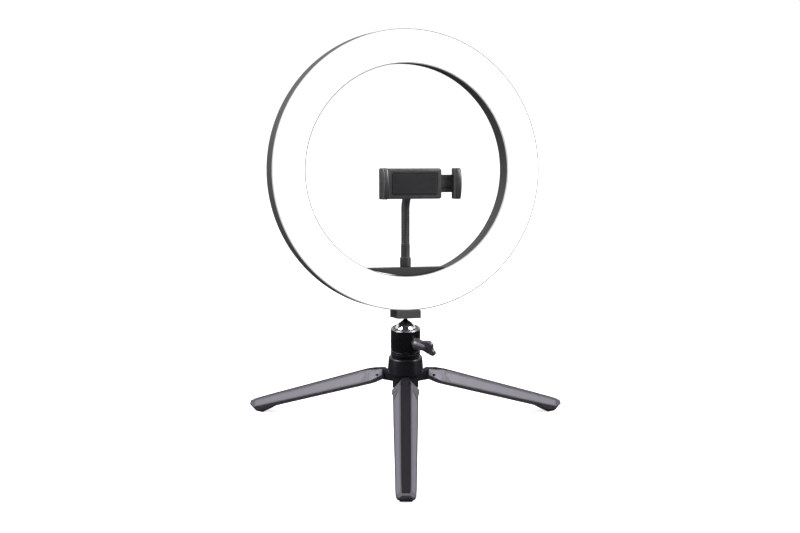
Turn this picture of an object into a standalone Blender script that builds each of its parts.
"""Ring light on a folding table tripod, with a ball head and a phone holder.

Sizes are in mm and degrees; the scene is in metres, +Z up, front towards -Y.
The origin is the middle of the whole object's footprint, on the table.  Each
moving piece hangs from an empty that lies on its own axis.
"""
import math

import bmesh
import bpy
from mathutils import Matrix, Vector

MM = 0.001
GAP = 0.3                      # clearance between neighbouring pieces

# ---- driving dimensions ----------------------------------------------------
BASE_Y = 47.46                 # tripod axis, behind the middle of the footprint
RING_R = 150.0                 # outer radius of the light
RING_BORE_R = 113.3            # inner radius of the light
RING_HALF = 13.5               # half the depth, back wall to diffuser crown
LIP_Z = 9.4                    # front lip of the housing, from mid depth
RING_STEPS = 48
RING_BACKSET = 1.0             # the ring sits this far behind the stem
BALL_Z = 119.3                 # centre of the ball above the table
BALL_R = 12.5
BALL_TO_RING = 174.0           # ball centre to ring centre along the stem
STEM_LEAN = 11.0               # lean of the stem, towards the back
LIGHT_YAW = 18.6               # turn of the light about its stem
HEAD_R = 15.9
HEAD_TOP = 125.0
HEAD_BOTTOM = 94.0
HUB_TOP = 92.7
CENTRE_BORE_R = 3.6            # bore up the tripod axis, through hub and head
KNOB_AZ = -48.0                # direction of the lock knob
KNOB_Z = 110.0
LEG_PIVOT_R = 30.0
LEG_PIVOT_Z = 68.4
LEG_PITCH = 20.3               # legs slope down by this much when spread
LEG_LEN = 181.0
LEG_AZ = {"front": -90.0, "right": 30.0, "left": 150.0}
TONGUE_HALF = 3.95             # half width of the hub tongues
HINGE_PIN_R = 1.5
HINGE_BORE_R = HINGE_PIN_R + GAP
BLOCK_BOTTOM = -158.4          # underside of the mounting block, ring frame
BAR_TOP = -104.2               # top face of the crossbar, ring frame
NECK_R = 4.8
CLAMP_BALL_Y = -33.0           # centre of the clamp's ball, ring frame
CLAMP_BALL_Z = -14.0
CLAMP_OPEN = 71.2              # between the pads

# ---- looks -----------------------------------------------------------------
BLACK = dict(colour=(0.012, 0.012, 0.014), roughness=0.35)
DARK = dict(colour=(0.05, 0.05, 0.052), roughness=0.5)
GREY = dict(colour=(0.22, 0.22, 0.24), roughness=0.4)
STEEL = dict(colour=(0.55, 0.55, 0.56), roughness=0.3, metallic=1.0)
CHROME = dict(colour=(0.85, 0.85, 0.86), roughness=0.06, metallic=1.0)
BRASS = dict(colour=(0.75, 0.55, 0.22), roughness=0.3, metallic=1.0)
RUBBER = dict(colour=(0.02, 0.02, 0.02), roughness=0.8)
WHITE = dict(colour=(0.9, 0.9, 0.88), roughness=0.4)
RED = dict(colour=(0.5, 0.03, 0.03), roughness=0.5)

# ---- start from nothing ----------------------------------------------------
for old in list(bpy.data.objects):
    bpy.data.objects.remove(old, do_unlink=True)

parts = bpy.data.collections.new("ring_light")
cutters = bpy.data.collections.new("cutters")
bpy.context.scene.collection.children.link(parts)
bpy.context.scene.collection.children.link(cutters)


# ---- placing ---------------------------------------------------------------
def material(name, colour, roughness, metallic=0.0):
    mat = bpy.data.materials.new(name)
    mat.use_nodes = True
    bsdf = mat.node_tree.nodes["Principled BSDF"]
    bsdf.inputs["Base Color"].default_value = (*colour, 1.0)
    bsdf.inputs["Roughness"].default_value = roughness
    bsdf.inputs["Metallic"].default_value = metallic
    mat.diffuse_color = (*colour, 1.0)
    return mat


def hang(ob, parent, location, rotation):
    ob.parent = parent
    ob.location = [c * MM for c in location]
    ob.rotation_euler = [math.radians(a) for a in rotation]


def empty(name, parent=None, location=(0, 0, 0), rotation=(0, 0, 0)):
    ob = bpy.data.objects.new(name, None)
    ob.empty_display_size = 0.01
    parts.objects.link(ob)
    hang(ob, parent, location, rotation)
    return ob


def place(name, data, look, parent, location=(0, 0, 0), rotation=(0, 0, 0)):
    """Make an object of a mesh or curve; one with no look is a hidden tool."""
    ob = bpy.data.objects.new(name, data)
    (parts if look else cutters).objects.link(ob)
    hang(ob, parent, location, rotation)
    if look:
        data.materials.append(material("mat_" + name, **look))
    else:
        ob.hide_render = True
        ob.display_type = "WIRE"
    return ob


def finish_mesh(bm, name, smooth=False):
    bmesh.ops.recalc_face_normals(bm, faces=bm.faces[:])
    mesh = bpy.data.meshes.new(name)
    bm.to_mesh(mesh)
    bm.free()
    if smooth:
        mesh.shade_smooth()
        mesh.set_sharp_from_angle(angle=math.radians(35))
    return mesh


# ---- modifiers -------------------------------------------------------------
def bevel_edges(ob, width, segments=1, angle_limit=30):
    """Round the sharp edges; a width of 0 leaves them alone."""
    if width:
        mod = ob.modifiers.new("edges", "BEVEL")
        mod.width = width * MM
        mod.segments = segments
        mod.limit_method = "ANGLE"
        mod.angle_limit = math.radians(angle_limit)


def combine(target, tool, how="DIFFERENCE"):
    mod = target.modifiers.new(how.lower(), "BOOLEAN")
    mod.operation = how
    mod.solver = "EXACT"
    mod.object = tool


# ---- shapes ----------------------------------------------------------------
def turned(name, profile, look, parent, location=(0, 0, 0), rotation=(0, 0, 0),
           steps=32, closed=False):
    """A piece turned about its own Z from (radius, height) pairs.

    A closed profile is a loop that stays clear of the axis.
    """
    bm = bmesh.new()
    verts = [bm.verts.new((r * MM, 0.0, z * MM)) for r, z in profile]
    for start, end in zip(verts, verts[1:]):
        bm.edges.new((start, end))
    if closed:
        bm.edges.new((verts[-1], verts[0]))
    mesh = bpy.data.meshes.new(name)
    bm.to_mesh(mesh)
    bm.free()
    ob = place(name, mesh, look, parent, location, rotation)
    mod = ob.modifiers.new("turn", "SCREW")
    mod.axis = "Z"
    mod.steps = steps
    mod.render_steps = steps
    mod.angle = 2 * math.pi
    mod.use_merge_vertices = True
    mod.merge_threshold = 0.00001
    mod.use_smooth_shade = True
    return ob


def box(name, low, high, look, parent, bevel=0.0, segments=1):
    """A block between two corners."""
    bm = bmesh.new()
    bmesh.ops.create_cube(bm, size=1.0)
    size = [(h - l) * MM for l, h in zip(low, high)]
    middle = [(h + l) / 2 * MM for l, h in zip(low, high)]
    bmesh.ops.scale(bm, vec=size, verts=bm.verts)
    bmesh.ops.translate(bm, vec=middle, verts=bm.verts)
    ob = place(name, finish_mesh(bm, name), look, parent)
    bevel_edges(ob, bevel, segments)
    return ob


def rod(name, radius, start, end, look, parent, segments=24):
    """A round bar between two points."""
    start, end = Vector(start) * MM, Vector(end) * MM
    along = end - start
    bm = bmesh.new()
    bmesh.ops.create_cone(bm, cap_ends=True, segments=segments, radius1=radius * MM,
                          radius2=radius * MM, depth=along.length)
    turn = Vector((0, 0, 1)).rotation_difference(along.normalized()).to_matrix().to_4x4()
    bmesh.ops.transform(bm, matrix=Matrix.Translation((start + end) / 2) @ turn, verts=bm.verts)
    return place(name, finish_mesh(bm, name, smooth=True), look, parent)


def new_wire(name, dimensions, points, cyclic=False):
    """A curve through straight-joined points."""
    curve = bpy.data.curves.new(name, "CURVE")
    curve.dimensions = dimensions
    spline = curve.splines.new("POLY")
    spline.points.add(len(points) - 1)
    for point, (x, y, z) in zip(spline.points, points):
        point.co = (x * MM, y * MM, z * MM, 1.0)
    spline.use_cyclic_u = cyclic
    return curve


def outline(name, points, thickness, look, parent, bevel, location=(0, 0, 0),
            rotation=(0, 0, 0), segments=1):
    """A flat closed outline, thickened about its own plane."""
    curve = new_wire(name, "2D", [(x, y, 0.0) for x, y in points], cyclic=True)
    curve.fill_mode = "BOTH"
    curve.extrude = thickness / 2 * MM
    flat = bpy.data.objects.new(name + "_outline", curve)
    cutters.objects.link(flat)
    bpy.context.view_layer.update()
    depsgraph = bpy.context.evaluated_depsgraph_get()
    filled = bpy.data.meshes.new_from_object(flat.evaluated_get(depsgraph))
    bpy.data.objects.remove(flat, do_unlink=True)
    bm = bmesh.new()
    bm.from_mesh(filled)
    bmesh.ops.remove_doubles(bm, verts=bm.verts, dist=0.00001)
    bmesh.ops.dissolve_limit(bm, angle_limit=math.radians(0.5), verts=bm.verts[:],
                             edges=bm.edges[:])
    ob = place(name, finish_mesh(bm, name), look, parent, location, rotation)
    bevel_edges(ob, bevel, segments)
    return ob


def loft(name, sections, look, parent, bevel=0.0):
    """A skin over matching closed sections, with flat ends."""
    bm = bmesh.new()
    rows = [[bm.verts.new(Vector(p) * MM) for p in section] for section in sections]
    count = len(rows[0])
    for row, following in zip(rows, rows[1:]):
        for i in range(count):
            j = (i + 1) % count
            bm.faces.new((row[i], row[j], following[j], following[i]))
    bm.faces.new(rows[0])
    bm.faces.new(list(reversed(rows[-1])))
    ob = place(name, finish_mesh(bm, name), look, parent)
    bevel_edges(ob, bevel, angle_limit=25)
    return ob


def wire(name, points, radius, look, parent, bevel_resolution):
    """A round wire along a line of points."""
    curve = new_wire(name, "3D", points)
    curve.bevel_depth = radius * MM
    curve.bevel_resolution = bevel_resolution
    curve.use_fill_caps = True
    return place(name, curve, look, parent)


def spread(start, end, count):
    """Count + 1 evenly spaced values."""
    return [start + (end - start) * i / count for i in range(count + 1)]


def arc(radius, angles, centre=(0, 0)):
    """Points on a circle at angles in radians."""
    return [(centre[0] + radius * math.cos(a), centre[1] + radius * math.sin(a))
            for a in angles]


def ball_points(radius, centre, low, high, count):
    """Profile of a ball, from height high down to height low about its centre."""
    angles = spread(math.asin(high / radius), math.asin(low / radius), count)
    return arc(radius, angles, (0, centre))


# ---- tripod hub ------------------------------------------------------------
TONGUE_HALF_HEIGHT = 5.6
NOSE_R = 5.8                   # rounded end of each tongue

base = empty("base", None, (0, BASE_Y, 0))
hub = turned("tripod_hub", [
    (CENTRE_BORE_R, HUB_TOP), (17.0, HUB_TOP), (18.0, HUB_TOP - 1.0), (18.8, 83.0),
    (19.4, 75.4), (18.6, 74.4), (9.0, 74.4), (9.0, 58.0), (8.4, 57.0), (6.6, 57.0),
    (6.6, 62.0), (CENTRE_BORE_R, 62.0)], BLACK, base, closed=True)
for leg, azimuth in LEG_AZ.items():
    axis = empty("tongue_" + leg, base, (0, 0, LEG_PIVOT_Z), (0, 0, azimuth))
    plate = box(f"tongue_{leg}_plate", (7.0, -TONGUE_HALF, -TONGUE_HALF_HEIGHT),
                (LEG_PIVOT_R, TONGUE_HALF, TONGUE_HALF_HEIGHT), None, axis)
    nose = rod(f"tongue_{leg}_nose", NOSE_R, (LEG_PIVOT_R, -TONGUE_HALF, 0),
               (LEG_PIVOT_R, TONGUE_HALF, 0), None, axis)
    combine(hub, plate, "UNION")
    combine(hub, nose, "UNION")
# The hinge bores are cut once every tongue is on.
for leg, azimuth in LEG_AZ.items():
    axis = empty("bore_" + leg, base, (0, 0, LEG_PIVOT_Z), (0, 0, azimuth))
    combine(hub, rod(f"bore_{leg}_tool", HINGE_BORE_R, (LEG_PIVOT_R, -12, 0),
                     (LEG_PIVOT_R, 12, 0), None, axis, segments=16))

turned("hub_screw", [
    (0, 98.4), (2.6, 98.4), (3.1, 97.8), (3.1, 61.7), (5.6, 61.7), (5.6, 59.2), (5.0, 58.7),
    (2.0, 58.7), (2.0, 60.4), (0, 60.4)], STEEL, base, steps=24)
turned("hub_cap", [(0, 58.4), (6.3, 58.4), (6.3, 56.6), (5.8, 56.0), (0, 56.0)],
       BLACK, base, steps=24)

WASHER_R = 14.4
WASHER_TOP = HEAD_BOTTOM - GAP
WASHER_BOTTOM = HUB_TOP + GAP
turned("pan_washer", [
    (CENTRE_BORE_R, WASHER_TOP), (WASHER_R, WASHER_TOP), (WASHER_R, WASHER_BOTTOM),
    (CENTRE_BORE_R, WASHER_BOTTOM)], RUBBER, base, closed=True)

# ---- legs ------------------------------------------------------------------
# Leg frame: X out along the leg from its hinge, Z up out of its top face.
# distance along the leg, half top width, half width at the side lip,
# height of the top, depth of the bottom, height of the side lip
LEG_SECTIONS = [
    (-5.5, 4.4, 7.4, 5.0, 5.4, -1.0),
    (0.0, 5.2, 12.4, 6.0, 6.2, -1.8),
    (4.0, 5.7, 14.8, 6.6, 6.6, -2.4),
    (9.0, 6.0, 15.0, 7.4, 6.8, -3.0),
    (12.5, 6.1, 13.9, 7.8, 6.9, -3.3),
    (21.0, 6.2, 13.7, 8.3, 7.0, -3.4),
    (92.0, 6.0, 12.4, 6.9, 6.9, -3.1),
    (150.0, 5.7, 11.2, 5.8, 6.9, -2.7),
    (163.0, 5.6, 11.0, 5.4, 8.4, -2.5),
    (175.0, 5.3, 10.4, 5.1, 6.5, -2.2),
    (LEG_LEN, 4.2, 7.6, 4.8, -0.2, 1.8),
]
LIP_IN = 2.0                   # the bottom is this much narrower per side than the lip
HOLLOW_STATIONS = (20.0, 30.0, 92.0, 150.0)
TRAY_STATIONS = (24.0, 92.0, 163.0, 173.5)
TRAY_INSET = 0.6               # side wall of the tray for the top strip
TRAY_DEPTH = 1.2
STRIP_RISE = 0.2               # the strip stands this far above the leg
FORK_HALF = TONGUE_HALF + 0.35
# distance along the leg, half width, height of the underside above the table
FOOT_SECTIONS = [
    (155.0, 7.0, 6.6), (163.0, 7.2, 2.4), (167.0, 7.2, 0.0), (175.0, 6.8, 0.0),
    (176.6, 6.0, 0.6),
]


def leg_at(x):
    """The columns of LEG_SECTIONS at a distance along the leg, without the distance."""
    for before, after in zip(LEG_SECTIONS, LEG_SECTIONS[1:]):
        if x <= after[0]:
            t = (x - before[0]) / (after[0] - before[0])
            return [a + (b - a) * t for a, b in zip(before[1:], after[1:])]


def ground(x):
    """Height of the table under a point of the spread leg, along the leg's own up."""
    pitch = math.radians(LEG_PITCH)
    return (x * math.sin(pitch) - LEG_PIVOT_Z) / math.cos(pitch)


def mirrored(x, *half):
    """A closed section across the leg from the (y, z) points of its +Y half."""
    (first_y, first_z), *rest = half
    return ([(x, -first_y, first_z)] + [(x, y, z) for y, z in half]
            + [(x, -y, z) for y, z in reversed(rest)])


def leg_shell(leg, axis):
    shell = loft("leg_" + leg, [
        mirrored(x, (wide - LIP_IN, -depth), (wide, lip), (narrow, top))
        for x, narrow, wide, top, depth, lip in LEG_SECTIONS], GREY, axis, bevel=0.7)
    combine(shell, box("fork_tool_" + leg, (-9.0, -FORK_HALF, -12.0), (6.4, FORK_HALF, 12.0),
                       None, axis))
    combine(shell, rod("pin_tool_" + leg, HINGE_BORE_R, (0, -16, 0), (0, 16, 0), None, axis,
                       segments=12))
    hollow = []
    tray = []
    for x in HOLLOW_STATIONS:
        narrow, wide, top, depth, lip = leg_at(x)
        hollow.append(mirrored(x, (wide - 4.0, -depth - 3.0), (wide - 2.6, lip - 0.2),
                               (narrow - 1.4, top - 3.2)))
    for x in TRAY_STATIONS:
        narrow, _, top, _, _ = leg_at(x)
        side = narrow - TRAY_INSET
        tray.append(mirrored(x, (side, top - TRAY_DEPTH), (side, top + 3)))
    combine(shell, loft("hollow_tool_" + leg, hollow, None, axis))
    combine(shell, loft("tray_tool_" + leg, tray, None, axis))


def leg_strip(leg, axis):
    """The strip lies in the tray, clear of its floor, sides and ends."""
    strip = []
    for x, end_gap in zip(TRAY_STATIONS, (GAP, 0.0, 0.0, -GAP)):
        narrow, _, top, _, _ = leg_at(x)
        side = narrow - TRAY_INSET - GAP
        strip.append(mirrored(x + end_gap, (side, top - TRAY_DEPTH + GAP),
                              (side, top + STRIP_RISE)))
    loft("leg_strip_" + leg, strip, RUBBER, axis, bevel=0.2)


def foot(leg, axis):
    sections = []
    for x, half_width, lift in FOOT_SECTIONS:
        depth = leg_at(x)[3]
        sections.append(mirrored(x, (half_width, -depth - GAP), (half_width, ground(x) + lift)))
    loft("foot_" + leg, sections, RUBBER, axis)


for leg, azimuth in LEG_AZ.items():
    direction = math.radians(azimuth)
    axis = empty("leg_%s_fold" % leg, base,
                 (LEG_PIVOT_R * math.cos(direction), LEG_PIVOT_R * math.sin(direction),
                  LEG_PIVOT_Z), (0, LEG_PITCH, azimuth))
    leg_shell(leg, axis)
    leg_strip(leg, axis)
    foot(leg, axis)
    rod("hinge_pin_" + leg, HINGE_PIN_R, (0, -10.4, 0), (0, 10.4, 0), STEEL, axis, segments=16)

# ---- ball head -------------------------------------------------------------
BALL_CLEARANCE = 0.35          # round the ball, in the housing and the brake shoe
SOCKET_R = BALL_R + BALL_CLEARANCE
NOTCH_AZ = 58                  # direction of the notch in the rim
NOTCH_HALF = 3.6

head_axis = empty("head_pan_axis", base)
socket_wall = [(math.sqrt(SOCKET_R ** 2 - h * h), BALL_Z + h) for h in (0.0, 2.4, 4.2)]
housing = turned("ball_housing", [
    (11.5, HEAD_TOP), (14.5, HEAD_TOP), (HEAD_R, 123.6), (HEAD_R, 101.0), (15.2, 100.6),
    (15.2, 99.9), (HEAD_R, 99.5), (HEAD_R, 94.8), (15.1, HEAD_BOTTOM),
    (CENTRE_BORE_R, HEAD_BOTTOM), (CENTRE_BORE_R, 98.9), (13.1, 98.9),
    (13.1, 117.0)] + socket_wall, BLACK, head_axis, steps=30, closed=True)
knob_axis = empty("lock_knob_axis", head_axis, (0, 0, KNOB_Z), (0, 0, KNOB_AZ))
combine(housing, rod("lock_bore_tool", 4.3, (9, 0, 0), (22, 0, 0), None, knob_axis,
                     segments=20))
notch_axis = empty("notch_axis", head_axis, (0, 0, 0), (0, 0, NOTCH_AZ))
combine(housing, box("notch_tool", (8.0, -NOTCH_HALF, 119.8), (22.0, NOTCH_HALF, 130.0), None,
                     notch_axis, bevel=1.2, segments=2))
turned("ball_seat", [
    (0, BALL_Z - 13.2), (4.0, BALL_Z - 12.6), (6.6, BALL_Z - 11.7), (7.2, BALL_Z - 11.8),
    (7.4, 104.6), (12.7, 104.6), (12.7, 99.2), (0, 99.2)], WHITE, head_axis, steps=24)

# The brake shoe's inner end is dished to the ball.
shoe = rod("brake_shoe", 3.9, (7.9, 0, 0), (12.0, 0, 0), BRASS, knob_axis, segments=20)
bm = bmesh.new()
bmesh.ops.create_uvsphere(bm, u_segments=32, v_segments=20, radius=SOCKET_R * MM)
combine(shoe, place("shoe_dish_tool", finish_mesh(bm, "shoe_dish_tool", smooth=True), None,
                    head_axis, (0, 0, BALL_Z)))

# ---- lock screw and wing knob, X outwards from the head --------------------
LOCK_SCREW_R = 2.9
LOCK_SCREW_END = 29.5
WING_TIP_R = 4.2
WING_TIP = (39.9, -4.6)        # centre of the rounded corner on the -Y side

rod("lock_screw", LOCK_SCREW_R, (12.3, 0, 0), (LOCK_SCREW_END, 0, 0), STEEL, knob_axis,
    segments=20)
knob = turned("wing_knob", [
    (0, 36.0), (3.6, 36.0), (4.6, 34.0), (5.0, 24.0), (5.9, 19.0), (5.9, 17.4), (5.3, 16.8),
    (0, 16.8)], BLACK, knob_axis, rotation=(0, 90, 0), steps=24)
wing_half = [(25.0, -4.6), (31.5, -7.6)] + arc(
    WING_TIP_R, map(math.radians, range(-110, 41, 30)), WING_TIP)
wing = wing_half + [(42.4, 0.0)] + [(x, -y) for x, y in reversed(wing_half)]
combine(knob, outline("paddle_tool", wing, 4.4, None, knob_axis, bevel=0.9,
                      rotation=(112, 0, 0), segments=2), "UNION")
combine(knob, rod("knob_bore_tool", LOCK_SCREW_R + GAP, (15.0, 0, 0),
                  (LOCK_SCREW_END + GAP, 0, 0), None, knob_axis))

# ---- ball and stem ---------------------------------------------------------
BALL_FLAT_R = 4.4              # flat on top of the ball, round the stem screw

ball_axis = empty("ball_tilt_axis", head_axis, (0, 0, BALL_Z), (-STEM_LEAN, 0, 0))
flat_z = math.sqrt(BALL_R ** 2 - BALL_FLAT_R ** 2)
turned("ball", [(0, 5.0), (3.3, 5.0), (3.3, flat_z)]
       + ball_points(BALL_R, 0, -BALL_R * 0.995, flat_z, 10)
       + [(0, -BALL_R)], CHROME, ball_axis, steps=28)
turned("stem_screw", [
    (0, 20.6), (2.4, 20.6), (3.0, 20.0), (3.0, 14.6), (4.2, 14.6), (4.2, 12.4), (3.0, 12.4),
    (3.0, 5.6), (0, 5.6)], STEEL, ball_axis, steps=20)

# ---- mounting block under the light ----------------------------------------
INSERT_R = 4.5

light_axis = empty("light_spin_axis", ball_axis, (0, 0, 0), (0, 0, LIGHT_YAW))
ring = empty("ring_centre", light_axis, (0, 0, BALL_TO_RING))
block = box("light_base_block", (-13.0, -13.3, BLOCK_BOTTOM), (13.0, 13.3, -146.0), DARK, ring,
            bevel=0.8, segments=2)
combine(block, rod("block_saddle_tool", RING_R + GAP, (0, -20, 0), (0, 20, 0), None, ring,
                   segments=96))
combine(block, rod("insert_bore_tool", INSERT_R + GAP, (0, 0, -160), (0, 0, -145), None, ring))
turned("thread_insert", [
    (3.2, -150.9), (INSERT_R, -150.9), (INSERT_R, -157.7), (3.2, -157.7)], BRASS, ring,
    steps=24, closed=True)

# ---- light: profile heights run forwards from mid depth --------------------
FORWARD = (90, 0, 0)           # turns a piece's own Z to the front
SCREW_R = 1.5
SCREW_HEAD_R = 2.8
BLOCK_SCREW_X = 9.2
BLOCK_SCREW_Y = 2.5
BOARD_SCREW_CIRCLE_R = 131
JACK_R = 4.1
JACK_X = -30.0
JACK_Z = -127.5

shell_axis = empty("ring_shell", ring, (0, RING_BACKSET, 0))
rear = turned("ring_rear_housing", [
    (RING_R, LIP_Z), (RING_R, -11.0), (149.3, -12.8), (147.6, -RING_HALF),
    (115.8, -RING_HALF), (114.0, -12.8), (RING_BORE_R, -11.0), (RING_BORE_R, LIP_Z),
    (116.0, LIP_Z), (116.0, -9.5), (118.0, -11.1), (146.0, -11.1), (148.0, -9.5),
    (148.0, LIP_Z)], DARK, shell_axis, rotation=FORWARD, steps=RING_STEPS, closed=True)


def bore_up(name, target, radius, x, low, high):
    """An upright screw bore through the block or the ring's outer wall."""
    combine(target, rod(name, radius, (x, BLOCK_SCREW_Y, low), (x, BLOCK_SCREW_Y, high), None,
                        ring, segments=16))


def bore_back(name, radius, x, z, segments):
    """A bore through the back wall of the light."""
    combine(rear, rod(name, radius, (x, 9, z), (x, 18, z), None, shell_axis,
                      segments=segments))


for number, x in enumerate((-BLOCK_SCREW_X, BLOCK_SCREW_X), 1):
    bore_up("block_screw_bore_%d" % number, block, SCREW_R + GAP, x, -155.5, -140)
    bore_up("wall_bore_%d" % number, rear, 1.9, x, -152, -144)
    turned("block_screw_%d" % number, [
        (0, -144.8), (SCREW_HEAD_R, -144.8), (SCREW_HEAD_R, -146.9), (SCREW_R, -146.9),
        (SCREW_R, -155.2), (0, -155.2)], STEEL, ring, location=(x, BLOCK_SCREW_Y, 0), steps=16)

screw_spots = arc(BOARD_SCREW_CIRCLE_R, map(math.radians, (45, 135, 225, 315)))
for number, (x, z) in enumerate(screw_spots, 1):
    bore_back("back_bore_%d" % number, SCREW_R + GAP, x, z, segments=16)
    turned("board_screw_%d" % number, [
        (0, -6.5), (SCREW_R, -6.5), (SCREW_R, -13.8), (2.9, -13.8), (2.9, -14.8),
        (2.2, -15.4), (0, -15.4)], STEEL, shell_axis, location=(x, 0, z), rotation=FORWARD,
        steps=16)

bore_back("jack_bore", JACK_R + GAP, JACK_X, JACK_Z, segments=24)
turned("power_socket", [
    (0, -6.8), (JACK_R, -6.8), (JACK_R, -14.2), (2.9, -14.2), (2.9, -9.0), (0.9, -9.0),
    (0.9, -13.4), (0, -13.4)], BLACK, shell_axis, location=(JACK_X, 0, JACK_Z),
    rotation=FORWARD, steps=20)

turned("ring_diffuser", [
    (140.0, RING_HALF), (145.6, 12.9), (148.4, 12.0), (149.7, 11.0), (RING_R, 10.3),
    (RING_R, 9.7), (147.7, 9.7), (147.7, 3.0), (145.9, 3.0), (145.9, 9.4), (145.4, 10.5),
    (143.6, 11.3), (140.0, 11.8), (124.0, 11.8), (120.4, 11.3), (118.6, 10.5), (118.1, 9.4),
    (118.1, 3.0), (116.3, 3.0), (116.3, 9.7), (RING_BORE_R, 9.7), (RING_BORE_R, 10.3),
    (RING_BORE_R + 0.3, 11.0), (RING_BORE_R + 1.6, 12.0), (118.4, 12.9),
    (124.0, RING_HALF)], WHITE, shell_axis, rotation=FORWARD, steps=RING_STEPS, closed=True)

# ---- board: a flat annulus with two rows of raised light sources -----------
BOARD_RADII = (118.6, 124.0, 127.5, 136.5, 140.0, 145.4)
LIT_BANDS = (1, 3)             # bands between those radii that carry the sources
BOARD_FRONT = -4.4
BOARD_BACK = -6.0
SOURCE_RISE = 1.0


def led_board():
    count = RING_STEPS
    bm = bmesh.new()
    rows = [[bm.verts.new((r * MM * math.cos(2 * math.pi * i / count),
                           r * MM * math.sin(2 * math.pi * i / count), BOARD_FRONT * MM))
             for i in range(count)] for r in BOARD_RADII]
    fronts = {}
    for band, (near, far) in enumerate(zip(rows, rows[1:])):
        for i in range(count):
            j = (i + 1) % count
            fronts[band, i] = bm.faces.new((near[i], far[i], far[j], near[j]))
    inner, outer = rows[0], rows[-1]
    back_inner, back_outer = [
        [bm.verts.new((v.co.x, v.co.y, BOARD_BACK * MM)) for v in row] for row in (inner, outer)]
    for i in range(count):
        j = (i + 1) % count
        bm.faces.new((back_inner[i], back_inner[j], back_outer[j], back_outer[i]))
        bm.faces.new((inner[i], inner[j], back_inner[j], back_inner[i]))
        bm.faces.new((outer[j], outer[i], back_outer[i], back_outer[j]))
    lit = [fronts[band, i] for band in LIT_BANDS for i in range(0, count, 2)]
    raised = bmesh.ops.extrude_discrete_faces(bm, faces=lit)["faces"]
    bmesh.ops.translate(bm, vec=(0, 0, SOURCE_RISE * MM),
                        verts=list({v for face in raised for v in face.verts}))
    place("led_board", finish_mesh(bm, "led_board"), WHITE, shell_axis, rotation=FORWARD)


led_board()

# ---- power lead, from beside the socket ------------------------------------
LEAD_START_X = JACK_X + 4.9
wire("power_lead", [
    (LEAD_START_X + i * 3.0, 9.2 - 1.6 * math.sin(math.pi * i / 6), JACK_Z - 0.4 * i)
    for i in range(7)], 0.6, RED, shell_axis, bevel_resolution=1)

# ---- crossbar: a segment of a disc inside the ring's bore ------------------
BAR_ARC_R = 112.6
BAR_THICKNESS = 17.0
STUD_R = 3.0

bar_end = math.atan2(BAR_TOP, math.sqrt(BAR_ARC_R ** 2 - BAR_TOP ** 2))
bar = outline("crossbar", arc(BAR_ARC_R, spread(bar_end, -math.pi - bar_end, 22)),
              BAR_THICKNESS, DARK, ring, bevel=0.5, location=(0, 0.5 + RING_BACKSET, 0),
              rotation=FORWARD)
combine(bar, rod("stud_bore_tool", STUD_R + GAP, (0, 0, -112.2), (0, 0, -100), None, ring))

# ---- bending neck ----------------------------------------------------------
FERRULE_FOOT = BAR_TOP + GAP
swivel = empty("neck_swivel_axis", ring)
turned("neck_ferrule", [
    (0, -79.0), (3.4, -79.0), (NECK_R, -80.4), (NECK_R, -92.6), (5.2, -93.2), (5.9, -94.2),
    (5.9, -103.4), (5.4, FERRULE_FOOT), (STUD_R, FERRULE_FOOT), (STUD_R, -111.6),
    (0, -111.6)], BLACK, swivel, steps=20)

# y and z of the bends from the bottom up, ring frame; the last is the clamp's ball
JOINTS = [(0.0, -77.4), (0.0, -57.2), (0.0, -37.4), (-7.2, -24.4), (-18.6, -16.9),
          (CLAMP_BALL_Y, CLAMP_BALL_Z)]
LINK_END_GAP = 1.6
LINK_CHAMFER = 1.4
LINK_END_R = 3.4
TIP_BALL_R = 5.0

for number, ((y, z), (next_y, next_z)) in enumerate(zip(JOINTS, JOINTS[1:]), 1):
    run = math.hypot(next_y - y, next_z - z)
    lean = math.degrees(math.atan2(-(next_y - y), next_z - z))
    axis = empty("neck_bend_%d_axis" % number, ring, (0, y, z), (lean, 0, 0))
    link_top = run - LINK_END_GAP
    if number < len(JOINTS) - 1:
        turned("neck_link_%d" % number, [
            (0, link_top), (LINK_END_R, link_top), (NECK_R, link_top - LINK_CHAMFER),
            (NECK_R, LINK_END_GAP + LINK_CHAMFER), (LINK_END_R, LINK_END_GAP),
            (0, LINK_END_GAP)], BLACK, axis, steps=18)
    else:
        # The pole takes the place of the ball's first point.
        turned("neck_tip", [(0, run + TIP_BALL_R)]
               + ball_points(TIP_BALL_R, run, -4.3, 4.999, 8)[1:]
               + [(2.5, 8.6), (4.6, 8.2), (5.3, 7.2), (5.3, 3.6), (NECK_R, 3.0),
                  (LINK_END_R, LINK_END_GAP), (0, LINK_END_GAP)], BLACK, axis, steps=18)

# ---- phone clamp: profile heights run forwards from the ball ---------------
CUP_R = 5.3                    # hollow of the socket, round the tip ball

clamp = empty("clamp_tilt_axis", ring, (0, CLAMP_BALL_Y, CLAMP_BALL_Z))
turned("clamp_socket", [(0, 6.6), (7.6, 6.6), (7.6, -1.2), (6.6, -2.0), (CUP_R, -2.0)]
       + arc(CUP_R, map(math.radians, (0, 20, 40, 60, 78))) + [(0, 5.35)],
       BLACK, clamp, rotation=FORWARD, steps=20)
turned("clamp_lock_ring", [
    (7.9, 4.6), (9.2, 4.6), (9.8, 4.0), (9.8, -1.6), (9.2, -2.2), (7.9, -2.2)],
    BLACK, clamp, rotation=FORWARD, steps=20, closed=True)

FRAME_BACK = -6.9              # y of the frame's back and front, from the ball
FRAME_FRONT = -15.4
FRAME_HALF = 16.0              # half height
FRAME_WALL = 1.8
CHANNEL_HALF = 9.6             # half height of the slider's channel
SLIDER_HALF = CHANNEL_HALF - GAP
SLIDER_INSET = FRAME_WALL + GAP
ARM_OUTER_X = 43.0
ARM_FRONT = -26.0
ARM_HALF = 16.3                # half height


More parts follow.
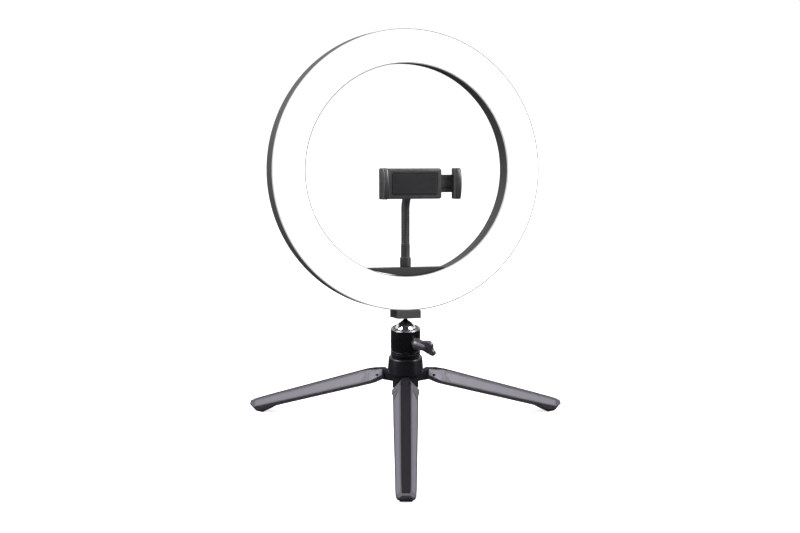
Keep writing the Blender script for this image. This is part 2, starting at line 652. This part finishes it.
def clamp_arm(name, target, x_low, x_high):
    arm = box(name, (x_low, ARM_FRONT, -ARM_HALF), (x_high, FRAME_BACK, ARM_HALF), None,
              clamp, bevel=1.4, segments=2)
    combine(target, arm, "UNION")


frame = box("clamp_frame", (-38.0, FRAME_FRONT, -FRAME_HALF), (24.0, FRAME_BACK, FRAME_HALF),
            BLACK, clamp, bevel=1.2, segments=2)
clamp_arm("left_arm_tool", frame, -ARM_OUTER_X, -37.8)
combine(frame, box("channel_tool", (-36.0, FRAME_FRONT + FRAME_WALL, -CHANNEL_HALF),
                   (30.0, FRAME_BACK - FRAME_WALL, CHANNEL_HALF), None, clamp))
slider = box("clamp_slider", (-8.0, FRAME_FRONT + SLIDER_INSET, -SLIDER_HALF),
             (38.6, FRAME_BACK - SLIDER_INSET, SLIDER_HALF), BLACK, clamp, bevel=0.4)
clamp_arm("right_arm_tool", slider, 38.0, ARM_OUTER_X)

# y, thickness of the pad across the arm
PAD_SECTIONS = [(-25.2, 0.6), (-24.0, 1.5), (-21.5, 1.9), (-19.0, 1.5), (-17.8, 0.6)]
PAD_THICKNESS = 1.9
PAD_BACK_HALF = 15.2           # half height against the arm, and at the phone
PAD_FACE_HALF = 14.6
for name, side in (("jaw_pad_left", -1), ("jaw_pad_right", 1)):
    pad = []
    for y, thickness in PAD_SECTIONS:
        back_x = side * (CLAMP_OPEN / 2 + PAD_THICKNESS)
        face_x = side * (CLAMP_OPEN / 2 + PAD_THICKNESS - thickness)
        pad.append([(back_x, y, -PAD_BACK_HALF), (back_x, y, PAD_BACK_HALF),
                    (face_x, y, PAD_FACE_HALF), (face_x, y, -PAD_FACE_HALF)])
    loft(name, pad, RUBBER, clamp)

# ---- clamp spring, in the middle of the channel ----------------------------
COIL_TURNS = 9
POINTS_PER_TURN = 8
COIL_R = 1.5
COIL_START_X = -35.0
COIL_LENGTH = 26.0

coil_y = (FRAME_BACK + FRAME_FRONT) / 2
coil_steps = COIL_TURNS * POINTS_PER_TURN
coil = []
for i in range(coil_steps + 1):
    angle = 2 * math.pi * i / POINTS_PER_TURN
    coil.append((COIL_START_X + COIL_LENGTH * i / coil_steps,
                 coil_y + COIL_R * math.cos(angle), COIL_R * math.sin(angle)))
wire("clamp_spring", coil, 0.35, STEEL, clamp, bevel_resolution=0)
